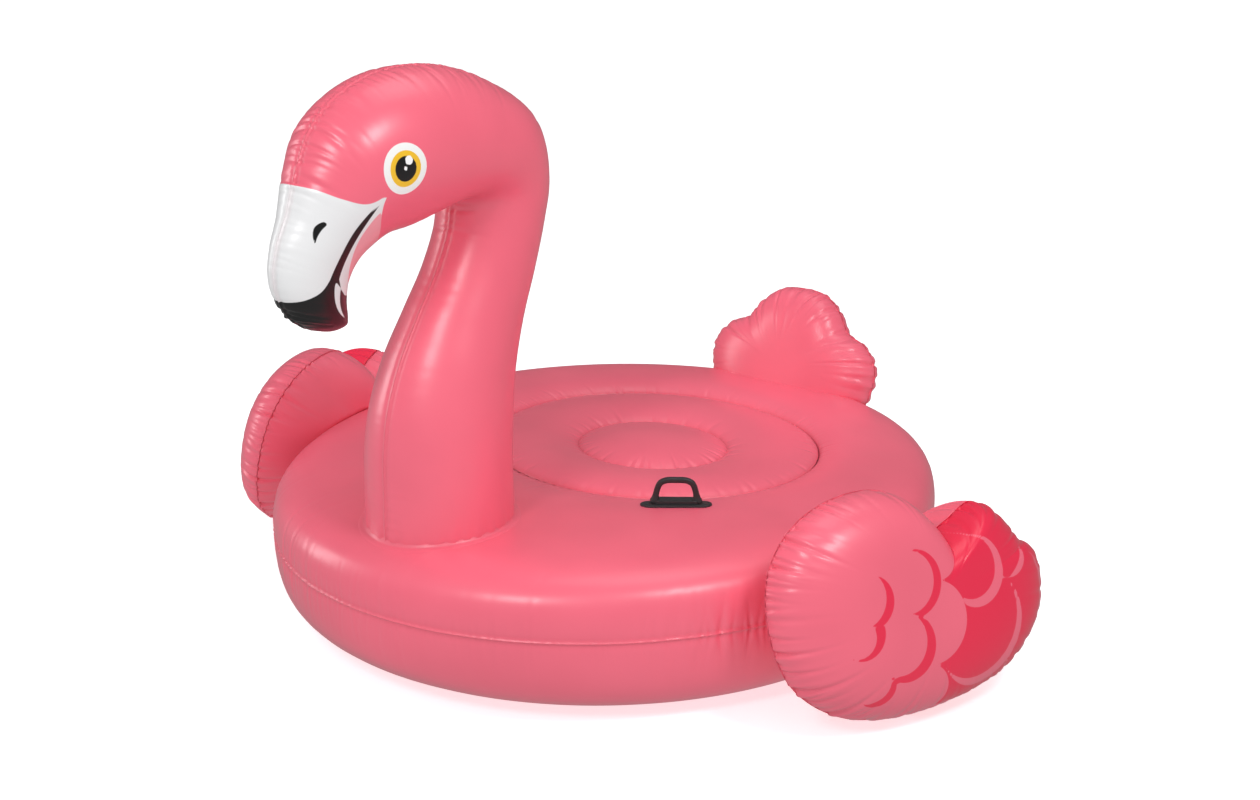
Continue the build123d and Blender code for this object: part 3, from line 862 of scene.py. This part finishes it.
def build_handles():
    """Moulded grab handles: a plate that follows the hull, a raised pad and a D-shaped grip."""
    black = moulded("handle_plastic", srgb(52, 52, 54))
    for name, sx in (("left", 1), ("right", -1)):
        low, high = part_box(name + "_handle")
        centre = np.array([(low.x + high.x) / 2, (low.y + high.y) / 2, 0]) - SHIFT
        turn = HANDLE_TURN * sx
        ex = np.array([math.cos(turn), math.sin(turn), 0]) * sx
        ey = np.array([-math.sin(turn), math.cos(turn), 0])
        verts, faces = [], []

        def tube(points, caps):
            """Rings of points joined into a tube; caps are the rows that are closed."""
            start = len(verts)
            rows, cols = points.shape[:2]
            verts.extend(points.reshape(-1, 3).tolist())
            for i in range(rows - 1):
                at = start + i * cols
                for j in range(cols):
                    k = (j + 1) % cols
                    faces.append([at + j, at + k, at + cols + k, at + cols + j])
            for row in caps:
                ring_at = [start + row * cols + j for j in range(cols)]
                faces.append(ring_at if row else ring_at[::-1])

        def pad(length, width, rows, follows_hull):
            """A pad with round ends; each row is (in from the edge, up)."""
            a = angles_around(160)[0]
            line = np.stack([(length - width) / 2 * np.sign(np.cos(a)) + width / 2 * np.cos(a),
                             width / 2 * np.sin(a)], 1)
            made = []
            for inset, up in rows:
                flat = line - line / np.linalg.norm(line, axis=1, keepdims=True) * inset
                xy = centre + flat[:, :1] * ex + flat[:, 1:] * ey
                ground = crest_height(xy[:, 0], xy[:, 1]) if follows_hull else CREST_Z
                made.append(np.stack([xy[:, 0], xy[:, 1], ground + up + 0 * xy[:, 0]], 1))
            tube(np.array(made), [len(rows) - 1])

        pad(0.150, 0.044, [
            (0, -0.004), (0, 0.0018), (0.0006, 0.0032), (0.0020, 0.0040), (0.0045, 0.0042),
            (0.0070, 0.0036), (0.0085, 0.0034), (0.0100, 0.0040), (0.0115, 0.0043), (0.0160, 0.0043)], True)
        pad(0.098, 0.026, [
            (0, 0.0010), (0, 0.0075), (0.0008, 0.0092), (0.0024, 0.0100), (0.0060, 0.0102)], False)
        leg = [(-44, 3), (-42.5, 16), (-39, 32), (-33, 44.5), (-21, 50.5)]
        path = curve(leg + [(0, 51.6)] + [(-x, z) for x, z in reversed(leg)], 110) * MM
        t = np.gradient(path, axis=0)
        t /= np.linalg.norm(t, axis=1, keepdims=True)
        side_dir = np.stack([-t[:, 1], t[:, 0]], 1)
        angle = angles_around(36)[0]
        a_unit, b_unit = (np.sign(v) * np.abs(v) ** 0.75 for v in (np.cos(angle), np.sin(angle)))
        crest = centre + np.array([0, 0, CREST_Z])
        made = []
        for (x, z), (nx, nz) in zip(path, side_dir):
            foot = bell((z - 0.003) / 0.010)
            a = (0.0062 + 0.0050 * foot) * a_unit
            b = (0.0064 + 0.0036 * foot) * b_unit
            made.append(crest + (x + nx * a)[:, None] * ex + b[:, None] * ey
                        + (z + nz * a)[:, None] * np.array([0, 0, 1.0]))
        tube(np.array(made), [0, len(made) - 1])
        mesh = bpy.data.meshes.new(name + "_grab_handle")
        mesh.from_pydata((np.array(verts) + SHIFT).tolist(), [], faces)
        mesh.shade_smooth()
        obj = place(name + "_grab_handle", mesh, black, "handle_plastic", [name + "_handle"], soft=False)
        obj.modifiers.new("normals", "WEIGHTED_NORMAL")


def finish_valves():
    """The CAD valves keep their shape; they get softened edges and moulded plastic."""
    clear = moulded("valve_plastic", srgb(226, 226, 222), 0.30, 700)
    flap = moulded("valve_flap_vinyl", srgb(236, 150, 164), 0.35, 700)
    for name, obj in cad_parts.items():
        if "_valve" not in name:
            continue
        obj.data.materials.clear()
        obj.data.materials.append(flap if name.endswith("_flap") else clear)
        weld = obj.modifiers.new("weld", "WELD")
        weld.merge_threshold = 0.00001
        bevel = obj.modifiers.new("bevel", "BEVEL")
        bevel.width, bevel.segments = 0.0006, 3
        bevel.limit_method, bevel.angle_limit = "ANGLE", math.radians(35)
        bevel.harden_normals = False


# ---------------------------------------------------------------- stage

def build_stage():
    """Pale floor, even studio light and the camera."""
    n = Nodes("stage_floor")
    tone = n.remap(n.noise(1.5, 2.0), 0.3, 0.7)
    n.surface(n.mix(tone, (0.90, 0.90, 0.905, 1), (0.93, 0.93, 0.935, 1)), 0.7, n.noise(40, 2.0), 0.05, 0.001)
    n.shader.inputs["Emission Color"].default_value = (1, 1, 1, 1)
    n.shader.inputs["Emission Strength"].default_value = 0.58
    mesh = bpy.data.meshes.new("stage_floor")
    corners = [(-40, -40), (40, -40), (40, 40), (-40, 40)]
    mesh.from_pydata([(x, y, -0.0008) for x, y in corners], [], [(0, 1, 2, 3)])
    mesh.materials.append(n.material)
    obj = bpy.data.objects.new("stage_floor", mesh)
    bpy.context.scene.collection.objects.link(obj)
    obj.visible_diffuse, obj.visible_glossy = False, False

    # White to the camera, dimmer in reflections, and a little brighter below than above
    world = bpy.data.worlds.new("studio")
    world.use_nodes = True
    tree = world.node_tree
    axes = tree.nodes.new("ShaderNodeSeparateXYZ")
    tree.links.new(tree.nodes.new("ShaderNodeTexCoord").outputs["Generated"], axes.inputs[0])
    span = tree.nodes.new("ShaderNodeMapRange")
    for index, value in ((1, -0.35), (2, 0.15), (3, 0.80), (4, 0.62)):
        span.inputs[index].default_value = value
    tree.links.new(axes.outputs["Z"], span.inputs[0])
    path = tree.nodes.new("ShaderNodeLightPath")
    dimmed, seen = tree.nodes.new("ShaderNodeMath"), tree.nodes.new("ShaderNodeMath")
    dimmed.operation, seen.operation = "MULTIPLY_ADD", "MAXIMUM"
    tree.links.new(path.outputs["Is Glossy Ray"], dimmed.inputs[0])
    dimmed.inputs[1].default_value = -0.50
    tree.links.new(span.outputs[0], dimmed.inputs[2])
    tree.links.new(dimmed.outputs[0], seen.inputs[0])
    tree.links.new(path.outputs["Is Camera Ray"], seen.inputs[1])
    tree.links.new(seen.outputs[0], tree.nodes["Background"].inputs["Strength"])
    tree.nodes["Background"].inputs["Color"].default_value = (1, 1, 1, 1)
    bpy.context.scene.world = world
    bpy.context.scene.view_settings.view_transform = "Standard"

    target = Vector((0, SHIFT[1], 0.5))
    for name, place_at, size, power in (
        ("key", (0.9, -3.3, 3.0), (0.9, 0.9), 37), ("left", (-4.2, -2.4, 1.5), (0.8, 2.2), 36),
        ("right", (2.8, -0.7, 3.4), (0.8, 0.8), 40), ("top", (0, 0.9, 4.2), (2.0, 2.0), 16)):
        lamp = bpy.data.lights.new(name, "AREA")
        lamp.shape, lamp.size, lamp.size_y, lamp.energy = "RECTANGLE", size[0], size[1], power
        light = bpy.data.objects.new(name, lamp)
        light.location = place_at
        light.rotation_euler = (target - Vector(place_at)).to_track_quat("-Z", "Y").to_euler()
        bpy.context.scene.collection.objects.link(light)

    azimuth, elevation, distance = math.radians(39.5), math.radians(16.77), 4.0
    flat = math.cos(elevation)
    back = Vector((math.sin(azimuth) * flat, -math.cos(azimuth) * flat, math.sin(elevation)))
    data = bpy.data.cameras.new("camera")
    data.lens, data.sensor_width = 51.2, 36.0
    data.shift_x, data.shift_y = 0.0174, -0.0219
    camera = bpy.data.objects.new("camera", data)
    camera.location = target + back * distance
    camera.rotation_euler = (-back).to_track_quat("-Z", "Y").to_euler()
    bpy.context.scene.collection.objects.link(camera)
    bpy.context.scene.camera = camera


build_hull()
build_floor()
build_neck()
build_wings()
build_tail()
build_handles()
finish_valves()
build_stage()
